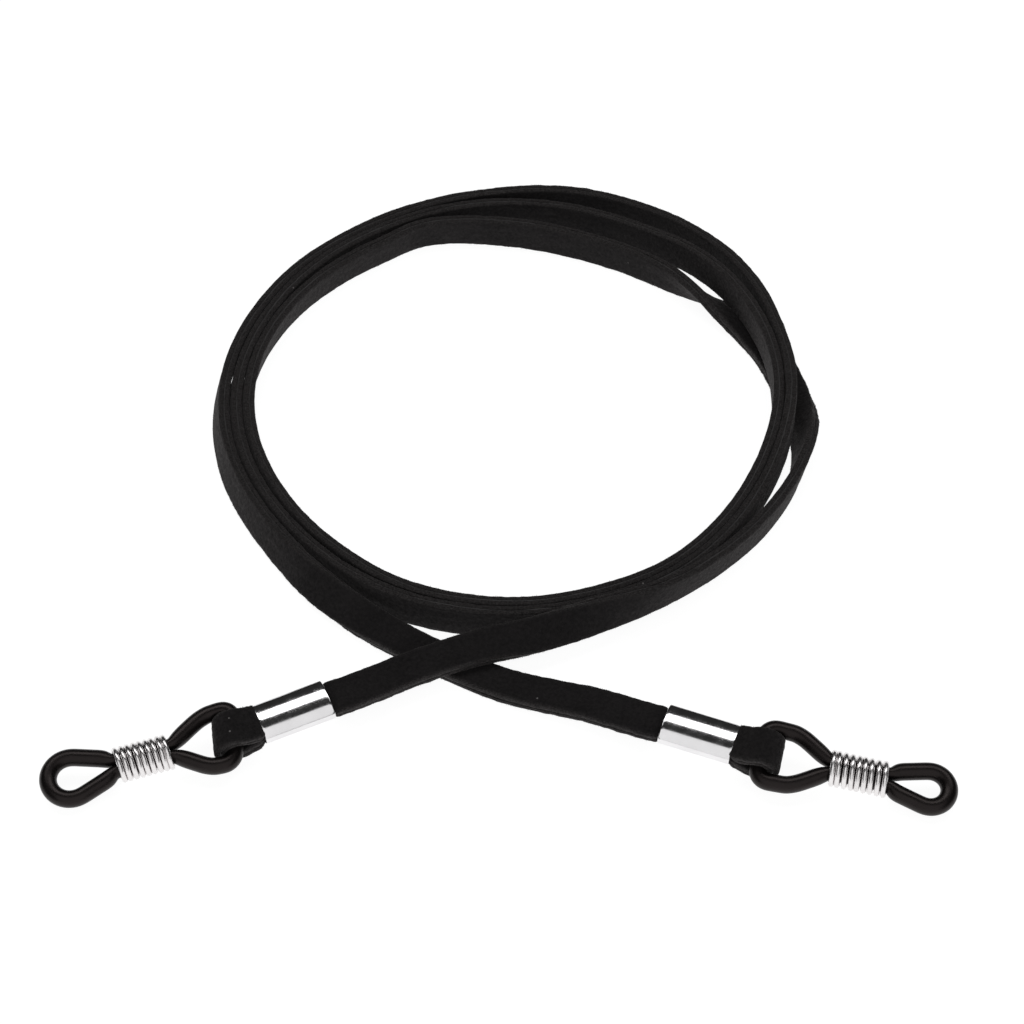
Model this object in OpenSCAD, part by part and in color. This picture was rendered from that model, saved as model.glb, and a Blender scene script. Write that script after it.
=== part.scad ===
// Eyeglass retainer strap: a flat suede lace, loosely coiled in three turns on a table,
// with a crimped ferrule, a rubber loop and a sliding wire coil at each end.
// Millimetres. +Z is up, the table is z = 0, and the origin is the middle of the
// whole strap's footprint on the table. Azimuth 0 is +X and 90 is +Y.

/* [Strap] */
// Width of the lace
strap_w = 4.1; // [3.9:0.05:4.15]
// Thickness of the laminated lace
strap_t = 1.35; // [1.2:0.05:1.4]
// Thickness of the bonding film between the two suede layers
film_t = 0.15; // [0.1:0.05:0.3]
// Points swept between two neighbouring stations of the coil
steps = 4; // [3:1:5]

/* [Ferrules] */
// Width of the flat oval tube, outside
ferrule_w = 4.9; // [4.8:0.05:5.1]
// Height of the flat oval tube, outside
ferrule_h = 2.7; // [2.65:0.05:2.8]
// Length of the tube
ferrule_len = 8.1; // [8:0.1:8.6]
// Wall of the tube
ferrule_wall = 0.28; // [0.25:0.01:0.3]

/* [Rubber loops] */
// Diameter of the rubber cord
cord_d = 1.9; // [1.8:0.05:1.9]
// Widest part of the eye side of the loops, outside
eye_loop_w = 8.3; // [8.3:0.1:8.6]
// Widest part of the left temple loop, outside
left_temple_w = 6.8; // [6.6:0.1:7.2]
// Widest part of the right temple loop, outside
right_temple_w = 6.1; // [6:0.1:6.6]
// From the middle of the cross bar to the tip of the temple loop
loop_reach = 21.4; // [21.2:0.1:21.8]

/* [Coil sliders] */
// Diameter of the spring wire
wire_d = 0.6; // [0.56:0.01:0.6]
// Rise of the wire per turn
wire_pitch = 0.655; // [0.65:0.005:0.67]
// Number of turns
turns = 9; // [8:0.5:9]
// Outside diameter of the coil
coil_d = 4.0; // [3.95:0.05:4.05]
// From the middle of the cross bar to the left coil
left_coil_from = 6.8; // [6.6:0.1:7]
// From the middle of the cross bar to the right coil
right_coil_from = 7.5; // [7.2:0.1:7.6]

/* [Hidden] */
$fn = 48;
suede = "#1c1a1b";
film = "#3a3636";
steel = "#d9dadd";
rubber = "#141414";

// The coil's middle, seen from the origin
coil_centre = [1.72, 12.23];
// The lace folds round the cross bar of each rubber loop
cord_r = cord_d / 2;
cord_gap = 0.06;
eye_r = cord_r + cord_gap + strap_t / 2;
// The loops are rolled, so that the lace's near edge rests on the table under the bar
roll = 15;
bar_z = (eye_r + strap_t / 2) * cos(roll) + strap_w / 2 * sin(roll) + 0.08;
left_bar = [-28.66, -42.26, bar_z];
right_bar = [28.36, -44.87, bar_z];
// Each end has a ferrule and a loop: [middle of the cross bar, heading outward, rise outward,
// roll about its length]
left_tube = [left_bar, 204, -3.5, -10];
left_loop = [left_bar, 197.1, -3.3, -roll];
right_tube = [right_bar, -20.4, -2, 10];
right_loop = [right_bar, -13.1, -3.3, roll];
// The left cross bar is pulled out of square with its loop
left_skew = -10;
right_skew = 0;

// Ferrule and fold, measured along an end from the cross bar
lip_x = -2.9;
mouth_x = lip_x - ferrule_len;
stub_x = mouth_x + 0.3;
// Hair's breadth between the bonding film and each suede layer
bond_gap = 0.01;
bore_h = ferrule_h - 2 * ferrule_wall;
bore_w = strap_w + 0.1;
ferrule_corner = 0.75;
// The two plies are pressed thin enough to leave a hair's breadth round each
ply_t = (bore_h - 0.12) / 2;
ply_squash = ply_t / strap_t;
ply_z = ply_t / 2 + 0.02;

// Stations of the lace from the left ferrule round the coil to the right one:
// [azimuth, radius from the coil's middle, lift of its lower edge off the table, lean].
// Lean 0 is on edge, 90 is flat with the outer face up, and -90 is flat with it down.
left_tail = [[255.7, 46.2, 1.65, 85], [264, 41.9, 1.48, 80], [273, 40.2, 1.37, 54],
    [284, 38.8, 1.5, 20], [297, 37.9, 1.3, -7], [311, 36.8, .55, -10],
    [326, 36.3, .05, -8], [340, 36.3, .045, -14]];
// The first turn lies flat where it ducks under the other two, then stands up inside them
first_turn = [[350, 35.8, .045, -36], [358, 34.95, .045, -64], [366, 34.3, .045, -82],
    [376, 33.7, .045, -90], [385, 32.9, .045, -94], [393, 31.8, .045, -116],
    [402, 30.8, .045, -152], [413, 30.5, .05, -176], [434, 31.0, .05, -180],
    [452, 32.5, .05, -178], [469, 34.2, .05, -172], [482, 33.3, .05, -169],
    [500, 33.0, .05, -168], [522, 32.8, .05, -166], [545, 32.8, .05, -165],
    [568, 33.1, .05, -166], [592, 34.1, .05, -174], [610, 35.4, .05, -180]];
// The second and third turns climb over the first one between azimuths 330 and 400
second_turn = [[630, 35.7, .05, -184], [647, 35.0, .05, -190], [660, 34.4, .05, -192],
    [675, 33.2, .1, -190], [690, 32.5, .7, -184], [704, 32.3, 1.5, -180],
    [720, 32.4, 1.65, -180], [735, 32.7, 1.75, -180], [748, 33.1, 1.95, -180],
    [759, 33.6, 1.85, -180], [770, 34.3, 1.2, -180], [782, 35.1, .35, -180],
    [802, 36.3, .05, -178], [820, 36.5, .05, -174], [840, 35.75, .05, -168],
    [861, 34.95, .05, -166], [880, 34.35, .05, -165], [905, 34.35, .05, -165],
    [928, 34.7, .05, -166], [945, 35.45, .05, -170], [958, 36.3, .05, -175],
    [972, 37.0, .05, -180]];
third_turn = [[990, 37.15, .05, -184], [1007, 36.45, .05, -190], [1020, 35.85, .05, -192],
    [1035, 34.65, .1, -190], [1050, 33.95, .8, -184], [1064, 33.75, 1.8, -180],
    [1078, 33.85, 2.15, -180], [1095, 34.3, 1.75, -180], [1110, 35.6, 1.6, -180],
    [1124, 37.3, 1.0, -180], [1140, 38.9, .3, -180], [1158, 39.6, .05, -180],
    [1176, 38.6, .05, -178], [1200, 37.25, .05, -168], [1221, 36.45, .05, -166],
    [1240, 35.9, .05, -165], [1268, 35.9, .05, -165], [1290, 36.35, .05, -165]];
right_tail = [[1303, 37.2, .05, -160], [1312, 38.3, .05, -148], [1321, 39.45, .05, -122],
    [1331, 40.9, .05, -98], [1340.3, 42.9, .08, -90], [1348.1, 45.4, .13, -90],
    [1359.1, 49.5, .7, -95]];
coil = concat(left_tail, first_turn, second_turn, third_turn, right_tail);

// ---- vectors ----
function unit(v) = v / norm(v);
function turn_z(p, a) = [p.x * cos(a) - p.y * sin(a), p.x * sin(a) + p.y * cos(a), p.z];
function turn_up(p, a) = [p.x * cos(a) - p.z * sin(a), p.y, p.x * sin(a) + p.z * cos(a)];
function rolled(p, a) = [p.x, p.y * cos(a) - p.z * sin(a), p.y * sin(a) + p.z * cos(a)];
// A direction, or a point, of a ferrule or a loop, in the strap's own frame
function turned(v, end) = turn_z(turn_up(rolled(v, end[3]), end[2]), end[1]);
function place(p, end) = end[0] + turned(p, end);

// ---- the lace's middle line ----
function edge_height(lean) = strap_w / 2 * abs(cos(lean)) + strap_t / 2 * abs(sin(lean));
// Station with the height of the lace's middle in place of its lift
function lifted(s) = [s[0], s[1], s[2] + edge_height(s[3]), s[3]];
// A ferrule point as a station, with its azimuth on the given turn
function as_station(p, lean, turn) =
    let (d = [p.x - coil_centre.x, p.y - coil_centre.y])
    [atan2(d.y, d.x) + 360 * turn, norm(d), p.z, lean];
left_in = place([mouth_x + 4, 0, -ply_z], left_tube);
left_out = place([mouth_x, 0, -ply_z], left_tube);
right_out = place([mouth_x, 0, -ply_z], right_tube);
right_in = place([mouth_x + 4, 0, -ply_z], right_tube);
stations = concat(
    [as_station(left_in, 90 + left_tube[3], 1), as_station(left_out, 90 + left_tube[3], 1)],
    [for (s = coil) lifted(s)],
    [as_station(right_out, -90 - right_tube[3], 4), as_station(right_in, -90 - right_tube[3], 4)]);
last = len(stations) - 2;

// Cubic through b and c, with slopes from their neighbours a and d
function spline(a, b, c, d, t) =
    b + t * (c - a) / 2 + t * t * (a - 2.5 * b + 2 * c - d / 2)
    + t * t * t * (1.5 * (b - c) + (d - a) / 2);
swept = concat(
    [for (i = [1 : last - 1], k = [0 : steps - 1])
        spline(stations[i - 1], stations[i], stations[i + 1], stations[i + 2], k / steps)],
    [stations[last]]);
function along(s) = [coil_centre.x + s[1] * cos(s[0]), coil_centre.y + s[1] * sin(s[0]), s[2]];
coil_line = [for (s = swept) along(s)];

// Direction across the lace at a station, from the way it runs and its lean
function across(way, lean) =
    let (up = unit([0, 0, 1] - way * way.z), inward = cross(up, way))
    cos(lean) * up + sin(lean) * inward;

// The fold: out along the lower ply, round the cross bar, back along the upper ply
tangent = acos(eye_r / norm([lip_x, ply_z])) - atan2(ply_z, -lip_x);
fold_steps = 14;
function on_fold(a) = [eye_r * cos(a), 0, eye_r * sin(a)];
fold_from = -180 + tangent;
fold_to = 180 - tangent;
function end_line(tube, loop) = concat(
    [for (p = [[mouth_x + 3, -ply_z], [lip_x - 0.5, -ply_z], [lip_x + 0.1, -ply_z - 0.02]])
        place([p.x, 0, p.y], tube)],
    [for (k = [0 : fold_steps]) place(on_fold(fold_from + (fold_to - fold_from) * k / fold_steps), loop)],
    [for (p = [[lip_x + 0.1, ply_z + 0.02], [lip_x - 0.5, ply_z], [stub_x, ply_z]])
        place([p.x, 0, p.y], tube)]);
// The lace is pressed thin where the tube grips it
end_squash = concat([ply_squash, ply_squash, ply_squash], [for (k = [0 : fold_steps]) 1],
    [ply_squash, ply_squash, ply_squash]);
end_count = len(end_squash);
function end_across(tube, loop, skew) = [for (k = [0 : end_count - 1])
    k < 3 || k > end_count - 4 ? turned([0, -1, 0], tube) : turned([sin(skew), -cos(skew), 0], loop)];
function reversed(list) = [for (i = [len(list) - 1 : -1 : 0]) list[i]];
line = concat(reversed(end_line(left_tube, left_loop)), coil_line, end_line(right_tube, right_loop));
left_across = reversed(end_across(left_tube, left_loop, left_skew));
right_across = end_across(right_tube, right_loop, right_skew);
function squash_in_tube(i) = i == 0 || i == len(swept) - 1 ? ply_squash : 1;
squash = concat(end_squash, [for (i = [0 : len(swept) - 1]) squash_in_tube(i)], end_squash);

function way_at(i) = unit(line[min(i + 1, len(line) - 1)] - line[max(i - 1, 0)]);
function across_at(i) =
    i < end_count ? left_across[i]
    : i < end_count + len(swept) ? across(way_at(i), swept[i - end_count][3])
    : right_across[i - end_count - len(swept)];
// [point, direction across the width, direction through the thickness, squash]
frames = [for (i = [0 : len(line) - 1])
    let (w = across_at(i)) [line[i], w, unit(cross(way_at(i), w)), squash[i]]];

// ---- sweeping ----
// Closed skin over rings of equal size, in order. Opposite sides are split along the same
// diagonal, so that the faces of stacked layers match.
module skin(rings) {
    n = len(rings[0]);
    m = len(rings);
    points = [for (r = rings, p = r) p];
    sides = [for (j = [0 : m - 2], i = [0 : n - 1])
        let (a = j * n + i, b = j * n + (i + 1) % n)
        each i < n / 2 ? [[a, a + n, b], [b, a + n, b + n]] : [[a, a + n, b + n], [a, b + n, b]]];
    caps = [[for (i = [0 : n - 1]) i], [for (i = [n - 1 : -1 : 0]) (m - 1) * n + i]];
    polyhedron(points, concat(sides, caps), convexity = 12);
}

// One layer of the lace, between two depths through its thickness
module layer(low, high) {
    skin([for (f = frames)
        let (w = f[1] * strap_w / 2, a = f[2] * low * f[3], b = f[2] * high * f[3])
        [f[0] - w + a, f[0] + w + a, f[0] + w + b, f[0] - w + b]]);
}

module strap_front_suede() color(suede) layer(-strap_t / 2, -film_t / 2);
module strap_bonding_film() color(film) layer(bond_gap - film_t / 2, film_t / 2 - bond_gap);
module strap_back_suede() color(suede) layer(film_t / 2, strap_t / 2);

// ---- the ends ----
// Moves a shape drawn along +X from the cross bar to one end of the strap
module at_end(end) {
    translate(end[0]) rotate([end[3], -end[2], end[1]]) children();
}

// Rectangle with rounded corners, lying in X with its length along Y
module rounded(w, h, r) {
    square([h, w - 2 * r], center = true);
    square([h - 2 * r, w], center = true);
    for (x = [-1, 1], y = [-1, 1])
        translate([x * (h / 2 - r), y * (w / 2 - r)]) circle(r);
}

// Tube pressed flat over the two plies of the lace
module ferrule() {
    color(steel) translate([mouth_x, 0, 0]) rotate([0, 90, 0]) linear_extrude(ferrule_len)
        difference() {
            rounded(ferrule_w, ferrule_h, ferrule_corner);
            square([bore_h, bore_w], center = true);
        }
}
module left_ferrule() at_end(left_tube) ferrule();
module right_ferrule() at_end(right_tube) ferrule();

// Rubber loop: one closed cord, drawn along +X with its cross bar on Y at x = 0.
// The coil pinches it into an eye loop and a temple loop.
bar_half = (eye_loop_w - cord_d) / 2;
corner_r = 1.25;
bar_end = bar_half - corner_r;
// The moulded cord is slimmer inside the cross bar's round core
bar_squeeze = 0.88;
coil_len = wire_pitch * turns + wire_d;
// The cord's round section in steps: [half width, half height], as shares of its radius
cord_steps = [[1, .42], [.84, .7], [.59, .9], [.27, 1]];
// Inside the coil the two strands lie side by side, squeezed narrow enough to clear the wire
neck_gap = 0.065;
wire_gap = 0.06;
bore_r = coil_d / 2 - wire_d - wire_gap;
neck_half = (sqrt(bore_r * bore_r - pow(cord_steps[1].y * cord_r, 2)) - neck_gap) / (1 + cord_steps[1].x);
neck_y = neck_half + neck_gap;
neck_squeeze = neck_half / cord_r;
// A small land pared from the inside of the temple loop's round end
seat_depth = 0.08;

function temple_r(temple_w) = (temple_w - cord_d) / 2;
function temple_x(temple_w) = loop_reach - cord_r - temple_r(temple_w);

// Half of the loop's middle line, from the cross bar to the temple tip: [x, y, squeeze]
function half_line(from, temple_w) =
    let (to = from + coil_len, r = temple_r(temple_w), x = temple_x(temple_w), fork = [to + 0.9, 1.25],
         fork_angle = asin(r / norm([x - fork.x, fork.y])) - atan2(fork.y, x - fork.x))
    concat(
        [[0, bar_end / 2, bar_squeeze], [0, bar_end - 0.1, bar_squeeze]],
        [for (a = [10 : 16 : 90])
            [corner_r - corner_r * cos(a), bar_end + corner_r * sin(a), a < 30 ? bar_squeeze : 1]],
        // the strands close in on the coil
        [[from - 4.2, 3.1, 1], [from - 3.2, 2.7, 1], [from - 2.2, 2.07, 1], [from - 1.2, 1.36, .97],
         [from - 0.4, .8, .74], [from - 0.05, neck_y, neck_squeeze], [to + 0.05, neck_y, neck_squeeze],
         [to + 0.3, .78, .7], [to + 0.6, 1, .86], [fork.x, fork.y, .98]],
        [for (a = [90 + fork_angle : -(90 + fork_angle) / 12 : 0.1]) [x + r * cos(a), r * sin(a), 1]],
        [[x + r, 0, 1]]);
// The bar's skew dies away towards the coil
function skewed(p, from, skew) =
    [p.x - p.y * tan(skew) * min(1, max(0, (from - 0.4 - p.x) / (from - 0.9))), p.y, p.z];
function loop_line(from, temple_w, skew) =
    let (half = half_line(from, temple_w),
         other = [for (i = [len(half) - 2 : -1 : 0]) [half[i].x, -half[i].y, half[i].z]])
    [for (p = concat(half, other)) skewed(p, from, skew)];

// The loop's outer edge, or for a negative reach its inner edge
function outline(middle, reach) =
    [for (i = [0 : len(middle) - 1])
        let (n = len(middle), p = middle[i], way = middle[(i + 1) % n] - middle[(i + n - 1) % n],
             aside = unit([-way.y, way.x]))
        [p.x, p.y] + aside * reach * p.z];

module rubber_loop(from, temple_w, skew) {
    middle = loop_line(from, temple_w, skew);
    color(rubber) {
        rotate([90, 0, skew]) cylinder(h = 2 * bar_end, r = cord_r, center = true);
        difference() {
            for (s = cord_steps) linear_extrude(2 * s.y * cord_r, center = true)
                difference() {
                    polygon(outline(middle, s.x * cord_r));
                    polygon(outline(middle, -s.x * cord_r));
                }
            translate([temple_x(temple_w), 0, -cord_d])
                cylinder(h = 2 * cord_d, r = temple_r(temple_w) - cord_r + seat_depth);
        }
    }
}
module left_rubber_loop() at_end(left_loop) rubber_loop(left_coil_from, left_temple_w, left_skew);
module right_rubber_loop() at_end(right_loop) rubber_loop(right_coil_from, right_temple_w, right_skew);

// Close-wound coil of round wire that slides along the neck
facets_per_turn = 24;
wire_sides = 8;
module coil_slider(from) {
    r = (coil_d - wire_d) / 2;
    slope = atan2(wire_pitch, 2 * PI * r);
    color(steel) translate([from + wire_d / 2, 0, 0])
        skin([for (k = [0 : turns * facets_per_turn])
            let (a = 360 * k / facets_per_turn - 90, x = wire_pitch * k / facets_per_turn)
            [for (i = [0 : wire_sides - 1])
                let (b = -360 * i / wire_sides, q = r + wire_d / 2 * cos(b), s = wire_d / 2 * sin(b))
                [x + s * cos(slope), q * cos(a) + s * sin(slope) * sin(a),
                 q * sin(a) - s * sin(slope) * cos(a)]]]);
}
module left_coil_slider() at_end(left_loop) coil_slider(left_coil_from);
module right_coil_slider() at_end(right_loop) coil_slider(right_coil_from);

strap_front_suede();
strap_bonding_film();
strap_back_suede();
left_ferrule();
right_ferrule();
left_rubber_loop();
right_rubber_loop();
left_coil_slider();
right_coil_slider();
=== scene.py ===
"""Eyeglass retainer strap: the looks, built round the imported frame.

A laminated suede lace in a loose coil, with a crimped ferrule, a rubber loop and a
sliding wire coil at each end. Lengths in this file are millimetres until a mesh is made.
"""

import math

import bpy
import numpy as np
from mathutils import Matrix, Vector


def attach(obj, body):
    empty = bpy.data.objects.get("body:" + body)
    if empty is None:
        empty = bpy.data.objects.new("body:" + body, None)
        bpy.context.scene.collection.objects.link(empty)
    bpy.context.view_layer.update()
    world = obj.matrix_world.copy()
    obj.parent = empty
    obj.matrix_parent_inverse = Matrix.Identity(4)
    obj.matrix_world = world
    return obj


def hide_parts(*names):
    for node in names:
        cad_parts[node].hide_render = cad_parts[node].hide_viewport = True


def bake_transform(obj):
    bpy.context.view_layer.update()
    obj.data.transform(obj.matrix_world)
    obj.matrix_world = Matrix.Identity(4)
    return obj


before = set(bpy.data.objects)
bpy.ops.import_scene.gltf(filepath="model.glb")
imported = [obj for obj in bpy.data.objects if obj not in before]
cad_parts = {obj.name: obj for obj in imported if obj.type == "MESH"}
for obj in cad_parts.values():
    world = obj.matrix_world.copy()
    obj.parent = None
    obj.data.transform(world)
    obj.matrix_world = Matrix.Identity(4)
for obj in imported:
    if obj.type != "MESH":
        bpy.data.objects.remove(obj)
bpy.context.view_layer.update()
MM = 0.001
rng = np.random.default_rng(11)

# ---------------------------------------------------------------- sizes
STRAP_W, STRAP_T, FILM_T = 4.1, 1.35, 0.15
FERRULE_W, FERRULE_H, FERRULE_LEN, FERRULE_WALL = 4.9, 2.7, 8.1, 0.28
CORD_R = 0.95
EYE_HALF = (8.3 - 2 * CORD_R) / 2
LOOP_REACH = 21.4
WIRE_D, WIRE_PITCH, WIRE_TURNS, COIL_D = 0.6, 0.655, 9, 4.0
COIL_LEN = WIRE_PITCH * WIRE_TURNS + WIRE_D
CORD_GAP, TABLE_GAP = 0.06, 0.08
LIP_X = -2.9
MOUTH_X = LIP_X - FERRULE_LEN
FOLD_R = CORD_R + CORD_GAP + STRAP_T / 2
ROLL = 15
BAR_Z = (
    (FOLD_R + STRAP_T / 2) * math.cos(math.radians(ROLL))
    + STRAP_W / 2 * math.sin(math.radians(ROLL))
    + TABLE_GAP
)
COIL_CENTRE = np.array([1.72, 12.23])
# Each end's cross bar, how far it is out of square, where its coil starts, and the
# radius of its temple loop
BARS = {"left": (-28.66, -42.26, BAR_Z), "right": (28.36, -44.87, BAR_Z)}
SKEW = {"left": math.radians(-10), "right": 0.0}
COIL_FROM = {"left": 6.8, "right": 7.5}
TEMPLE_R = {"left": 2.45, "right": 2.1}
# Heading and rise outward, and roll, of each ferrule and of each rubber loop
TUBES = {"left": (204, -3.5, -10), "right": (-20.4, -2, 10)}
LOOPS = {"left": (197.1, -3.3, -ROLL), "right": (-13.1, -3.3, ROLL)}
# The lace is pressed thin and narrow where the ferrule grips it
PLY_T, PLY_Z, PLY_NARROWING = 0.8, 0.41, 0.17


def unit(v):
    return v / np.linalg.norm(v, axis=-1, keepdims=True)


def smoothstep(low, high, x):
    t = np.clip((x - low) / (high - low), 0, 1)
    return t * t * (3 - 2 * t)


def turned(vectors, end, frames):
    """Directions drawn in the frame of a ferrule or a loop, in the strap's own frame."""
    heading, rise, roll = np.radians(frames[end])
    x, y, z = np.asarray(vectors, float).reshape(-1, 3).T
    y, z = y * math.cos(roll) - z * math.sin(roll), y * math.sin(roll) + z * math.cos(roll)
    x, z = x * math.cos(rise) - z * math.sin(rise), x * math.sin(rise) + z * math.cos(rise)
    c, s = math.cos(heading), math.sin(heading)
    return np.stack([x * c - y * s, x * s + y * c, z], 1)


def place(points, end, frames):
    """The same for points, measured along +X from the end's cross bar."""
    return np.array(BARS[end]) + turned(points, end, frames)


# ---------------------------------------------------------------- meshes
def mesh_object(name, verts, faces, attributes=None, smooth=True):
    mesh = bpy.data.meshes.new(name)
    mesh.from_pydata((np.asarray(verts) * MM).tolist(), [], faces)
    mesh.polygons.foreach_set("use_smooth", [smooth] * len(mesh.polygons))
    for key, values in (attributes or {}).items():
        layer = mesh.attributes.new(key, "FLOAT", "POINT")
        layer.data.foreach_set("value", np.asarray(values, np.float32).ravel())
    mesh.update()
    obj = bpy.data.objects.new(name, mesh)
    bpy.context.scene.collection.objects.link(obj)
    return obj


def sweep_faces(m, n, closed=False):
    """Quads over m rings of n points each, with flat caps unless the last ring meets the first."""
    j, i = np.meshgrid(np.arange(m if closed else m - 1), np.arange(n), indexing="ij")
    nxt, side = (j + 1) % m, (i + 1) % n
    quads = np.stack([j * n + i, j * n + side, nxt * n + side, nxt * n + i], -1).reshape(-1, 4)
    faces = quads.tolist()
    if not closed:
        faces.append(list(range(n - 1, -1, -1)))
        faces.append([(m - 1) * n + k for k in range(n)])
    return faces


def resample(line, spacing, *fields):
    """The line and its fields at even spacing along it."""
    length = np.concatenate([[0], np.cumsum(np.linalg.norm(np.diff(line, axis=0), axis=1))])
    s = np.linspace(0, length[-1], int(length[-1] / spacing) + 1)
    out = [np.stack([np.interp(s, length, column) for column in f.T], 1) for f in (line, *fields)]
    return out, s


def soften(values, passes):
    for _ in range(passes):
        values[1:-1] = (values[:-2] + 2 * values[1:-1] + values[2:]) / 4
    return values


def ripple(shape, width):
    """Smooth random values along the first axis, about one in size."""
    values = rng.standard_normal(shape)
    k = np.exp(-0.5 * (np.arange(-3 * width, 3 * width + 1) / width) ** 2)
    k /= math.sqrt((k**2).sum())
    flat = values.reshape(shape[0], -1)
    out = np.stack([np.convolve(column, k, mode="same") for column in flat.T], 1)
    return out.reshape(shape)


# ---------------------------------------------------------------- the lace's path
STUB = 4
STEPS_PER_STATION = 16
LACE_STEP, PLY_STEP = 0.25, 0.4
# Stations round the coil: azimuth, radius, lift of the lower edge, lean (0 is on edge)
LEFT_TAIL = [
    (255.7, 46.2, 1.65, 85), (264, 41.9, 1.48, 80), (273, 40.2, 1.37, 54), (284, 38.8, 1.5, 20),
    (297, 37.9, 1.3, -7), (311, 36.8, 0.55, -10), (326, 36.3, 0.05, -8), (340, 36.3, 0.045, -14),
]
FIRST_TURN = [
    (350, 35.8, 0.045, -36), (358, 34.95, 0.045, -64), (366, 34.3, 0.045, -82),
    (376, 33.7, 0.045, -90), (385, 32.9, 0.045, -94), (393, 31.8, 0.045, -116),
    (402, 30.8, 0.045, -152), (413, 30.5, 0.05, -176), (434, 31.0, 0.05, -180),
    (452, 32.5, 0.05, -178), (469, 34.2, 0.05, -172), (482, 33.3, 0.05, -169),
    (500, 33.0, 0.05, -168), (522, 32.8, 0.05, -166), (545, 32.8, 0.05, -165),
    (568, 33.1, 0.05, -166), (592, 34.1, 0.05, -174), (610, 35.4, 0.05, -180),
]
SECOND_TURN = [
    (630, 35.7, 0.05, -184), (647, 35.0, 0.05, -190), (660, 34.4, 0.05, -192),
    (675, 33.2, 0.1, -190), (690, 32.5, 0.7, -184), (704, 32.3, 1.5, -180),
    (720, 32.4, 1.65, -180), (735, 32.7, 1.75, -180), (748, 33.1, 1.95, -180),
    (759, 33.6, 1.85, -180), (770, 34.3, 1.2, -180), (782, 35.1, 0.35, -180),
    (802, 36.3, 0.05, -178), (820, 36.5, 0.05, -174), (840, 35.75, 0.05, -168),
    (861, 34.95, 0.05, -166), (880, 34.35, 0.05, -165), (905, 34.35, 0.05, -165),
    (928, 34.7, 0.05, -166), (945, 35.45, 0.05, -170), (958, 36.3, 0.05, -175),
    (972, 37.0, 0.05, -180),
]
THIRD_TURN = [
    (990, 37.15, 0.05, -184), (1007, 36.45, 0.05, -190), (1020, 35.85, 0.05, -192),
    (1035, 34.65, 0.1, -190), (1050, 33.95, 0.8, -184), (1064, 33.75, 1.8, -180),
    (1078, 33.85, 2.15, -180), (1095, 34.3, 1.75, -180), (1110, 35.6, 1.6, -180),
    (1124, 37.3, 1.0, -180), (1140, 38.9, 0.3, -180), (1158, 39.6, 0.05, -180),
    (1176, 38.6, 0.05, -178), (1200, 37.25, 0.05, -168), (1221, 36.45, 0.05, -166),
    (1240, 35.9, 0.05, -165), (1268, 35.9, 0.05, -165), (1290, 36.35, 0.05, -165),
]
RIGHT_TAIL = [
    (1303, 37.2, 0.05, -160), (1312, 38.3, 0.05, -148), (1321, 39.45, 0.05, -122),
    (1331, 40.9, 0.05, -98), (1340.3, 42.9, 0.08, -90), (1348.1, 45.4, 0.13, -90),
    (1359.1, 49.5, 0.7, -95),
]


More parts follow.
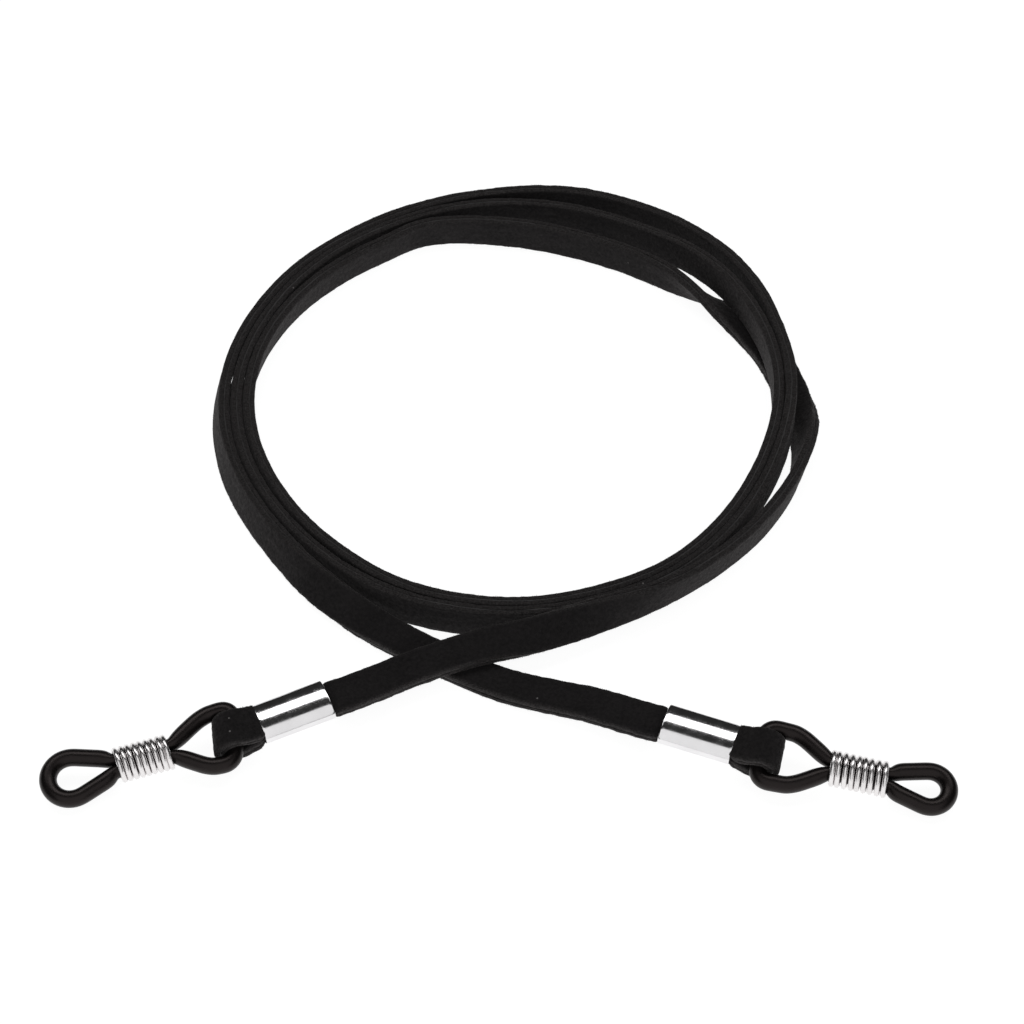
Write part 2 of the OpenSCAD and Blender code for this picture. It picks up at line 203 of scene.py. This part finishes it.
def lace_path():
    """Middle line of the lace, and its direction across, from stub to stub."""

    def as_station(point, lean, turn):
        d = point[:2] - COIL_CENTRE
        return [math.degrees(math.atan2(d[1], d[0])) + 360 * turn, np.hypot(*d), point[2], lean]

    def lifted(station):
        azimuth, radius, lift, lean = station
        c, s = abs(math.cos(math.radians(lean))), abs(math.sin(math.radians(lean)))
        return [azimuth, radius, lift + STRAP_W / 2 * c + STRAP_T / 2 * s, lean]

    inner = {e: place([[MOUTH_X + STUB, 0, -PLY_Z]], e, TUBES)[0] for e in BARS}
    outer = {e: place([[MOUTH_X, 0, -PLY_Z]], e, TUBES)[0] for e in BARS}
    coil = LEFT_TAIL + FIRST_TURN + SECOND_TURN + THIRD_TURN + RIGHT_TAIL
    st = np.array(
        [as_station(p["left"], 90 + TUBES["left"][2], 1) for p in (inner, outer)]
        + [lifted(s) for s in coil]
        + [as_station(p["right"], -90 - TUBES["right"][2], 4) for p in (outer, inner)]
    )
    swept = []
    for i in range(1, len(st) - 2):
        a, b, c, d = st[i - 1 : i + 3]
        for t in np.arange(STEPS_PER_STATION) / STEPS_PER_STATION:
            swept.append(
                b + t * (c - a) / 2 + t * t * (a - 2.5 * b + 2 * c - d / 2)
                + t**3 * (1.5 * (b - c) + (d - a) / 2)
            )
    swept = np.array(swept + [st[-2]])
    angle = np.radians(swept[:, 0])
    line = np.stack(
        [
            COIL_CENTRE[0] + swept[:, 1] * np.cos(angle),
            COIL_CENTRE[1] + swept[:, 1] * np.sin(angle),
            swept[:, 2],
        ],
        1,
    )
    way = unit(np.gradient(line, axis=0))
    up = unit(np.array([0, 0, 1]) - way * way[:, 2:])
    inward = np.cross(up, way)
    lean = np.radians(swept[:, 3:])
    across = np.cos(lean) * up + np.sin(lean) * inward

    tangent = math.acos(FOLD_R / math.hypot(LIP_X, PLY_Z)) - math.atan2(PLY_Z, -LIP_X)
    turn = np.linspace(-math.pi + tangent, math.pi - tangent, 48)
    fold = np.stack([FOLD_R * np.cos(turn), 0 * turn, FOLD_R * np.sin(turn)], 1)
    lower = [[x, 0, -PLY_Z] for x in np.arange(MOUTH_X + 0.4, LIP_X - 0.1, PLY_STEP)]
    upper = [[x, 0, PLY_Z] for x in np.arange(LIP_X - 0.2, MOUTH_X + 0.5, -PLY_STEP)]
    end, side = {}, {}
    for e in BARS:
        runs = ((lower, TUBES), (fold, LOOPS), (upper, TUBES))
        end[e] = np.concatenate([place(points, e, frames) for points, frames in runs])
        square = turned([[0, -1, 0]], e, TUBES)[0]
        bar = turned([[math.sin(SKEW[e]), -math.cos(SKEW[e]), 0]], e, LOOPS)[0]
        side[e] = np.array([square] * len(lower) + [bar] * len(fold) + [square] * len(upper))
    line = np.concatenate([end["left"][::-1], line, end["right"]])
    across = np.concatenate([side["left"][::-1], across, side["right"]])
    (line, across), s = resample(line, LACE_STEP, across)
    soften(line, 4)
    soften(across, 4)
    return line, across, s


def in_tube(points):
    """How far each point of the lace is gripped by a ferrule, 0 to 1."""
    grip = np.zeros(len(points))
    for e, bar in BARS.items():
        d = points - np.array(bar)
        c, s = math.cos(math.radians(TUBES[e][0])), math.sin(math.radians(TUBES[e][0]))
        x, y = d[:, 0] * c + d[:, 1] * s, -d[:, 0] * s + d[:, 1] * c
        inside = smoothstep(MOUTH_X - 0.5, MOUTH_X + 0.35, x) * smoothstep(
            LIP_X + 0.5, LIP_X - 0.35, x
        )
        grip = np.maximum(grip, inside * (np.abs(y) < 3))
    return grip


LINE, ACROSS, ALONG = lace_path()
WAY = unit(np.gradient(LINE, axis=0))
ACROSS = unit(ACROSS)
THROUGH = unit(np.cross(WAY, ACROSS))
GRIP = in_tube(LINE)
FIBRES_PER_MM = 26


def laid(u, v):
    """Points of the lace at u across it and v through it, pressed where a ferrule grips."""
    narrow = (1 - PLY_NARROWING * GRIP)[:, None]
    thin = (1 - (1 - PLY_T / STRAP_T) * GRIP)[:, None]
    return (
        LINE[:, None]
        + ACROSS[:, None] * (u * narrow)[..., None]
        + THROUGH[:, None] * (v * thin)[..., None]
    )


def lace_layer(name, side):
    """One suede layer: rounded outer corners, a slightly ragged cut edge and a napped face."""
    m = len(LINE)
    inner, outer, corner = FILM_T / 2, STRAP_T / 2, 0.2
    half = STRAP_W / 2
    rise = [(half, inner), (half, inner + 0.13), (half + 0.015, inner + 0.27)]
    bend = [
        (half - corner * (1 - math.cos(a)), outer - corner * (1 - math.sin(a)))
        for a in np.radians([8, 32, 58, 82])
    ]
    face = [(u, outer) for u in (1.6, 1.2, 0.8, 0.4, 0)]
    right = rise + bend + face
    profile = [(u, v) for u, v in right] + [(-u, v) for u, v in right[-2::-1]]
    u, v = np.array(profile).T
    n = len(u)
    rim = smoothstep(half - 0.28, half - 0.02, np.abs(u))
    crown = 0.03 * (1 - (u / half) ** 2) * (v > outer - 0.1)
    # Cut edges wander slowly, fray finely, and differ on the two sides
    wander = np.stack([ripple((m,), 14), ripple((m,), 14)], 1) * 0.035
    fray = np.stack([ripple((m,), 1), ripple((m,), 1)], 1) * 0.022
    pick = (u < 0).astype(int)
    uu = u + np.sign(u) * rim * (wander + fray)[:, pick] + rim * ripple((m, n), 1) * 0.012
    nap = ripple((m, n), 2) * 0.011 + ripple((m, n), 9) * 0.014
    vv = v + crown + nap * (v > inner + 0.2)
    verts = laid(uu, side * vv)
    faces = sweep_faces(m, n)
    if side > 0:
        faces = [f[::-1] for f in faces]
    # Loose fibres along both cut edges, each a thin flake standing out of the rim
    count = int(ALONG[-1] * FIBRES_PER_MM)
    ring = rng.integers(4, m - 4, count)
    point = rng.choice(np.flatnonzero(np.abs(u) > half - 0.12), count)
    root = verts[ring, point]
    away = ACROSS[ring] * np.sign(u[point])[:, None] + 0.35 * side * THROUGH[ring]
    away = unit(away + 0.75 * rng.standard_normal((count, 3)))
    reach = rng.uniform(0.05, 0.2, count)[:, None] * (1 - GRIP[ring])[:, None]
    tip = root + away * reach
    tip[:, 2] = np.maximum(tip[:, 2], 0.01)
    flank = unit(np.cross(away, rng.standard_normal((count, 3)))) * 0.022
    fibres = np.stack([root - flank, root + flank, tip], 1).reshape(-1, 3)
    first = m * n
    faces += [[first + 3 * k, first + 3 * k + 1, first + 3 * k + 2] for k in range(count)]
    points = np.concatenate([verts.reshape(-1, 3), fibres])
    # Rim weights, read by the suede material to paint the cut edges lighter: partly their fibres,
    # partly a painted highlight
    rims = np.concatenate([np.tile(rim, m), np.ones(3 * count)])
    return mesh_object(name, points, faces, {"rim": rims})


def lace_film():
    """The bonding film, a little shy of the cut edges so that it reads as a line."""
    m = len(LINE)
    half, t = STRAP_W / 2 - 0.05, FILM_T / 2 - 0.004
    profile = [(half, -t), (half, t), (0, t), (-half, t), (-half, -t), (0, -t)]
    u, v = np.array(profile).T
    sway = np.stack([ripple((m,), 3), ripple((m,), 3)], 1) * 0.02
    uu = u + np.sign(u) * sway[:, (u < 0).astype(int)] * (np.abs(u) > 1)
    faces = [f[::-1] for f in sweep_faces(m, len(u))]
    return mesh_object("lace_bonding_film", laid(uu, v).reshape(-1, 3), faces, smooth=False)


# ---------------------------------------------------------------- ferrules
FERRULE_RIM = 0.11
SEAM_W, SEAM_DEPTH = 0.09, 0.07
CRIMP_LEN, CRIMP_DEPTH = 0.55, 0.09


def ferrule_ring(x, inset, count=96):
    """Flat oval section of the tube at x, with the folded sheet's seam underneath."""
    a = np.radians(np.arange(count) * 360 / count)
    y, z = np.cos(a) * (FERRULE_W / 2 - inset), np.sin(a) * (FERRULE_H / 2 - inset)
    if inset < FERRULE_WALL / 2:
        below = np.sin(a) < 0
        z = z + SEAM_DEPTH * np.exp(-((y / SEAM_W) ** 2)) * below
        # Two light crimps pressed in from below
        for middle in (0.3, 0.7):
            d = (x - (MOUTH_X + FERRULE_LEN * middle)) / CRIMP_LEN
            z = z + CRIMP_DEPTH * math.exp(-d * d) * np.exp(-(y**2)) * below
    return np.stack([np.full(count, x), y, z], 1)


def ferrule(end):
    """The tube outside from mouth to lip with rounded rims, then back through its bore."""
    rim = [
        (FERRULE_RIM * (1 - math.cos(a)), FERRULE_RIM * (1 - math.sin(a)))
        for a in np.radians([0, 25, 50, 70, 90])
    ]
    rings = [(MOUTH_X + along, inset) for along, inset in rim]
    rings += [(x, 0) for x in np.linspace(MOUTH_X + 0.35, LIP_X - 0.35, 26)]
    rings += [(LIP_X - along, inset) for along, inset in rim[::-1]]
    inner = FERRULE_WALL
    rings += [(LIP_X - 0.02, inner - 0.05), (LIP_X - 0.07, inner), (LIP_X - 2, inner)]
    rings += [(MOUTH_X + 2, inner), (MOUTH_X + 0.07, inner), (MOUTH_X + 0.02, inner - 0.05)]
    skin = [ferrule_ring(x, inset) for x, inset in rings]
    points = np.concatenate(skin)
    faces = [f[::-1] for f in sweep_faces(len(rings), len(skin[0]), closed=True)]
    obj = mesh_object(f"{end}_ferrule_tube", place(points, end, TUBES), faces)
    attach(obj, "strap")
    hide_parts(f"{end}_ferrule")
    return obj


# ---------------------------------------------------------------- rubber loops
CORNER_R = 1.25
BAR_END = EYE_HALF - CORNER_R
CORD_STEP, CORD_SOFTENING = 0.16, 7
# In the coil each half of the cord is pressed against the other; past it the two part
NECK_Y, NECK_ACROSS, NECK_TALL = 0.685, 0.71, 0.97
FORK_X, FORK_Y = 0.9, 1.25


def half_loop(start, radius):
    """Half of the cord's middle line, cross bar to temple tip.

    Each station is x, y, the squeeze across and the squeeze in height.
    """
    stop = start + COIL_LEN
    pts = [(0, y, 1, 1) for y in np.linspace(0, BAR_END, 8)]
    for a in np.radians(np.arange(15, 91, 15)):
        pts.append((CORNER_R * (1 - math.cos(a)), BAR_END + CORNER_R * math.sin(a), 1, 1))
    pts += [(start - 4.2, 3.1, 1, 1), (start - 3.2, 2.7, 1, 1), (start - 2.2, 2.07, 1, 1)]
    pts += [(start - 1.2, 1.4, 1, 1), (start - 0.4, 0.88, 0.88, 0.99)]
    pts += [(x, NECK_Y, NECK_ACROSS, NECK_TALL) for x in np.linspace(start, stop, 12)]
    pts += [(stop + 0.3, 0.83, 0.84, 1), (stop + 0.6, 1.03, 0.94, 1)]
    pts.append((stop + FORK_X, FORK_Y, 1, 1))
    centre = LOOP_REACH - CORD_R - radius
    ahead = centre - (stop + FORK_X)
    angle = math.asin(radius / math.hypot(ahead, FORK_Y)) - math.atan2(FORK_Y, ahead)
    for a in np.linspace(math.pi / 2 + angle, 0, 16):
        pts.append((centre + radius * math.cos(a), radius * math.sin(a), 1, 1))
    return np.array(pts)


def cord(half, start, skew, sides=28):
    """A round cord swept along half and its mirror image, which meet at half's last point.

    The cross bar's skew dies away towards the coil.
    """
    mirrored = half[-2::-1] * np.array([1, -1, 1, 1])
    path = np.concatenate([half, mirrored])
    fade = np.clip((start - 0.4 - path[:, 0]) / (start - 0.9), 0, 1)
    path[:, 0] -= path[:, 1] * math.tan(skew) * fade
    line = np.concatenate([path[:, :2], np.zeros((len(path), 1))], 1)
    (line, squeeze), _ = resample(line, CORD_STEP, path[:, 2:])
    ends = line[[0, -1]].copy()
    soften(line, CORD_SOFTENING)
    soften(squeeze, CORD_SOFTENING)
    line[[0, -1]] = ends
    way = unit(np.gradient(line, axis=0))
    aside = np.stack([-way[:, 1], way[:, 0], 0 * way[:, 0]], 1)
    b = np.radians(np.arange(sides) * 360 / sides)
    ring_a = (CORD_R * squeeze[:, :1] * np.cos(b))[..., None]
    ring_z = (CORD_R * squeeze[:, 1:] * np.sin(b))[..., None]
    points = line[:, None] + aside[:, None] * ring_a + np.array([0, 0, 1]) * ring_z
    return points.reshape(-1, 3), sweep_faces(len(line), sides)


def rubber_loop(end):
    """The closed cord in two pieces, split in the middle of the coil: one round the cross bar, one
    round the temple tip.
    """
    start = COIL_FROM[end]
    half = half_loop(start, TEMPLE_R[end])
    split = int(np.argmin(np.abs(half[:, 0] - start - COIL_LEN / 2)))
    parts = {
        "eye": (half[: split + 1][::-1], 1.0, start),
        "temple": (half[split:], LOOP_REACH, start + COIL_LEN),
    }
    for part, (line, still, moving) in parts.items():
        points, faces = cord(line, start, SKEW[end])
        obj = mesh_object(f"{end}_rubber_{part}_loop", place(points, end, LOOPS), faces)
        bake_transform(obj)
        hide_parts(f"{end}_rubber_loop")
        obj.data.materials.append(RUBBER)


# ---------------------------------------------------------------- coil sliders
def coil_slider(end, material):
    """Close-wound round wire with squared, slightly sprung cut ends."""
    per_turn, sides = 48, 14
    r = (COIL_D - WIRE_D) / 2
    count = int(WIRE_TURNS * per_turn) + 1
    a = np.arange(count) * 2 * math.pi / per_turn
    uneven = soften(rng.standard_normal(count), 400) * 0.25
    uneven = uneven - np.linspace(uneven[0], uneven[-1], count)
    x = COIL_FROM[end] + WIRE_D / 2 + WIRE_PITCH * a / (2 * math.pi) + uneven
    a = a - math.pi / 2
    line = np.stack([x, r * np.cos(a), r * np.sin(a)], 1)
    way = unit(np.gradient(line, axis=0))
    radial = np.stack([0 * a, np.cos(a), np.sin(a)], 1)
    side = np.cross(way, radial)
    b = np.radians(np.arange(sides) * 360 / sides)
    scale = np.ones(count)
    scale[[0, -1]] = 0.86
    ring = WIRE_D / 2 * scale[:, None, None]
    points = (
        line[:, None]
        + radial[:, None] * np.cos(b)[:, None] * ring
        + side[:, None] * np.sin(b)[:, None] * ring
    )
    faces = [f[::-1] for f in sweep_faces(count, sides)]
    obj = mesh_object(f"{end}_coil_spring", place(points.reshape(-1, 3), end, LOOPS), faces)
    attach(obj, f"{end}_coil")
    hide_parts(f"{end}_coil_slider")
    obj.data.materials.append(material)


# ---------------------------------------------------------------- materials
class Shader:
    """A node material, with short calls for the nodes used here."""

    def __init__(self, name):
        self.material = bpy.data.materials.new(name)
        self.material.use_nodes = True
        self.tree = self.material.node_tree
        self.bsdf = self.tree.nodes["Principled BSDF"]
        self.place = self.node("ShaderNodeTexCoord").outputs["Object"]

    def node(self, kind, **settings):
        node = self.tree.nodes.new(kind)
        for key, value in settings.items():
            setattr(node, key, value)
        return node

    def link(self, source, target):
        self.tree.links.new(source, target)

    def feed(self, socket, value):
        if isinstance(value, bpy.types.NodeSocket):
            self.link(value, socket)
        else:
            socket.default_value = value

    def noise(self, scale, detail=3.0, roughness=0.6, vector=None):
        node = self.node("ShaderNodeTexNoise")
        self.link(vector or self.place, node.inputs["Vector"])
        node.inputs["Scale"].default_value = scale
        node.inputs["Detail"].default_value = detail
        node.inputs["Roughness"].default_value = roughness
        return node.outputs["Fac"]

    def span(self, value, low, high, to_low=0.0, to_high=1.0):
        node = self.node("ShaderNodeMapRange")
        self.feed(node.inputs["Value"], value)
        keys = ("From Min", "From Max", "To Min", "To Max")
        for key, number in zip(keys, (low, high, to_low, to_high)):
            node.inputs[key].default_value = number
        return node.outputs["Result"]

    def math(self, operation, a, b):
        node = self.node("ShaderNodeMath", operation=operation)
        self.feed(node.inputs[0], a)
        self.feed(node.inputs[1], b)
        return node.outputs[0]

    def mix(self, factor, a, b):
        node = self.node("ShaderNodeMix", data_type="RGBA")
        self.feed(node.inputs["Factor"], factor)
        self.feed(node.inputs[6], a)
        self.feed(node.inputs[7], b)
        return node.outputs[2]

    def attribute(self, name):
        return self.node("ShaderNodeAttribute", attribute_name=name).outputs["Fac"]

    def bump(self, height, strength, distance, normal=None):
        node = self.node("ShaderNodeBump")
        self.feed(node.inputs["Height"], height)
        node.inputs["Strength"].default_value = strength
        node.inputs["Distance"].default_value = distance
        if normal:
            self.link(normal, node.inputs["Normal"])
        return node.outputs["Normal"]

    def set(self, **inputs):
        for key, value in inputs.items():
            self.feed(self.bsdf.inputs[key.replace("_", " ")], value)
        return self.material


def suede():
    s = Shader("black_faux_suede")
    rim = s.attribute("rim")
    nap = s.noise(2600, 4, 0.7)
    patch = s.noise(160, 2, 0.5)
    tone = s.math("ADD", s.span(nap, 0.3, 0.75, 0, 0.7), s.span(patch, 0.3, 0.7, 0, 0.35))
    face = s.mix(tone, (0.0055, 0.005, 0.0052, 1), (0.017, 0.0155, 0.0158, 1))
    # Cut edges are painted lighter than the faces: partly the pale exposed fibres of the cut,
    # partly a painted highlight for the light on upward-facing edges
    fibres = s.span(s.noise(5200, 3, 0.8), 0.4, 0.75)
    cut_fibres_and_painted_highlight = s.mix(fibres, (0.012, 0.011, 0.011, 1), (0.05, 0.046, 0.046, 1))
    colour = s.mix(rim, face, cut_fibres_and_painted_highlight)
    # Sparse lint: a few small pale specks caught in the nap
    cell = s.node("ShaderNodeTexVoronoi")
    s.link(s.place, cell.inputs["Vector"])
    cell.inputs["Scale"].default_value = 420
    near = s.span(cell.outputs["Distance"], 0.03, 0.055, 1, 0)
    split = s.node("ShaderNodeSeparateColor")
    s.link(cell.outputs["Color"], split.inputs["Color"])
    some = s.math("GREATER_THAN", split.outputs[0], 0.8)
    colour = s.mix(s.math("MULTIPLY", near, some), colour, (0.17, 0.16, 0.16, 1))
    coarse = s.bump(s.noise(1500, 4, 0.65), 0.8, 0.00012)
    fine = s.bump(nap, 0.7, 0.00006, coarse)
    return s.set(
        Base_Color=colour,
        Roughness=0.95,
        Specular_IOR_Level=0.12,
        Sheen_Weight=s.span(nap, 0.3, 0.8, 0.05, 0.3),
        Sheen_Roughness=0.5,
        Sheen_Tint=(0.5, 0.47, 0.47, 1),
        Normal=fine,
    )


def film():
    s = Shader("dark_bonding_film")
    colour = s.mix(s.noise(900), (0.008, 0.007, 0.007, 1), (0.03, 0.027, 0.027, 1))
    return s.set(
        Base_Color=colour, Roughness=0.6, Normal=s.bump(s.noise(3000), 0.4, 0.00003)
    )


def rubber():
    s = Shader("satin_black_rubber")
    mottled = s.noise(700, 4)
    colour = s.mix(mottled, (0.003, 0.0026, 0.0026, 1), (0.006, 0.005, 0.005, 1))
    rough = s.span(s.noise(260, 5, 0.7), 0.3, 0.75, 0.27, 0.42)
    grain = s.bump(s.noise(6000, 2), 0.25, 0.00002)
    return s.set(
        Base_Color=colour,
        Roughness=rough,
        Specular_IOR_Level=0.27,
        Specular_Tint=(1.0, 0.86, 0.84, 1),
        Normal=s.bump(s.noise(420, 2), 0.35, 0.00008, grain),
    )


def plated(name, tint, low, high, waviness):
    s = Shader(name)
    rough = s.span(s.noise(900, 6, 0.75), 0.35, 0.75, low, high)
    tone = s.mix(
        s.span(s.noise(300, 3), 0.3, 0.7), (*tint, 1), tuple(c * 0.93 for c in tint) + (1,)
    )
    scratch = s.node("ShaderNodeMapping")
    s.link(s.place, scratch.inputs["Vector"])
    scratch.inputs["Scale"].default_value = (1, 0.12, 1)
    fine = s.bump(s.noise(9000, 2, 0.5, scratch.outputs["Vector"]), 0.04, 0.00001)
    return s.set(
        Base_Color=tone,
        Metallic=1.0,
        Roughness=rough,
        Normal=s.bump(s.noise(240, 2), waviness, 0.00006, fine),
    )


SUEDE, FILM, RUBBER = suede(), film(), rubber()
FERRULE = plated("bright_plated_ferrule", (0.86, 0.85, 0.86), 0.1, 0.2, 0.2)
WIRE = plated("bright_plated_spring_wire", (0.84, 0.82, 0.82), 0.22, 0.34, 0.1)

# ---------------------------------------------------------------- the object
for side, node in ((-1, "front"), (1, "back")):
    layer = lace_layer(f"lace_{node}_suede", side)
    layer.data.materials.append(SUEDE)
    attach(layer, "strap")
    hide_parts(f"strap_{node}_suede")
core = lace_film()
core.data.materials.append(FILM)
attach(core, "strap")
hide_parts("strap_bonding_film")
for end in BARS:
    ferrule(end).data.materials.append(FERRULE)
    rubber_loop(end)
    coil_slider(end, WIRE)

# ---------------------------------------------------------------- table, light and camera
TARGET = Vector((1.52, -5.27, 0)) * MM


def floor():
    """The bright table, as stage and not part of the object."""
    half = 1.5
    corners = [(-half, -half, 0), (half, -half, 0), (half, half, 0), (-half, half, 0)]
    mesh = bpy.data.meshes.new("white_table")
    mesh.from_pydata(corners, [], [(0, 1, 2, 3)])
    obj = bpy.data.objects.new("white_table", mesh)
    bpy.context.scene.collection.objects.link(obj)
    s = Shader("bright_white_table")
    s.set(
        Base_Color=(0.22, 0.22, 0.22, 1),
        Roughness=0.9,
        Specular_IOR_Level=0.0,
        Emission_Color=(1, 1, 1, 1),
        Emission_Strength=0.93,
    )
    mesh.materials.append(s.material)


def softbox(name, lean, distance, width, depth, radiance):
    """A rectangular light facing the object; lean is degrees behind the vertical."""
    light = bpy.data.lights.new(name, "AREA")
    light.shape, light.size, light.size_y = "RECTANGLE", width, depth
    light.energy = radiance * math.pi * width * depth
    obj = bpy.data.objects.new(name, light)
    a = math.radians(lean)
    offset = Vector((0, math.sin(a), math.cos(a))) * distance
    obj.location = TARGET + offset
    obj.rotation_euler = offset.to_track_quat("Z", "X").to_euler()
    bpy.context.scene.collection.objects.link(obj)


floor()
softbox("back_softbox_far", 30, 0.6, 0.06, 0.9, 2.6)
softbox("back_softbox_near", 17, 0.6, 0.17, 0.9, 2.6)
softbox("front_softbox", -53, 0.9, 1.31, 1.3, 0.88)
world = bpy.data.worlds.new("studio")
bpy.context.scene.world = world
world.use_nodes = True
world.node_tree.nodes["Background"].inputs[0].default_value = (0.02, 0.02, 0.02, 1)

CAMERA_DISTANCE, CAMERA_ELEVATION = 0.32, math.radians(45)
camera = bpy.data.cameras.new("camera")
camera.sensor_width, camera.lens = 36, 94.6
camera.clip_start, camera.clip_end = 0.01, 10
camera_object = bpy.data.objects.new("camera", camera)
bpy.context.scene.collection.objects.link(camera_object)
back = Vector((0, -math.cos(CAMERA_ELEVATION), math.sin(CAMERA_ELEVATION)))
camera_object.location = TARGET + back * CAMERA_DISTANCE
camera_object.rotation_euler = back.to_track_quat("Z", "Y").to_euler()
bpy.context.scene.camera = camera_object
bpy.context.scene.view_settings.view_transform = "Standard"
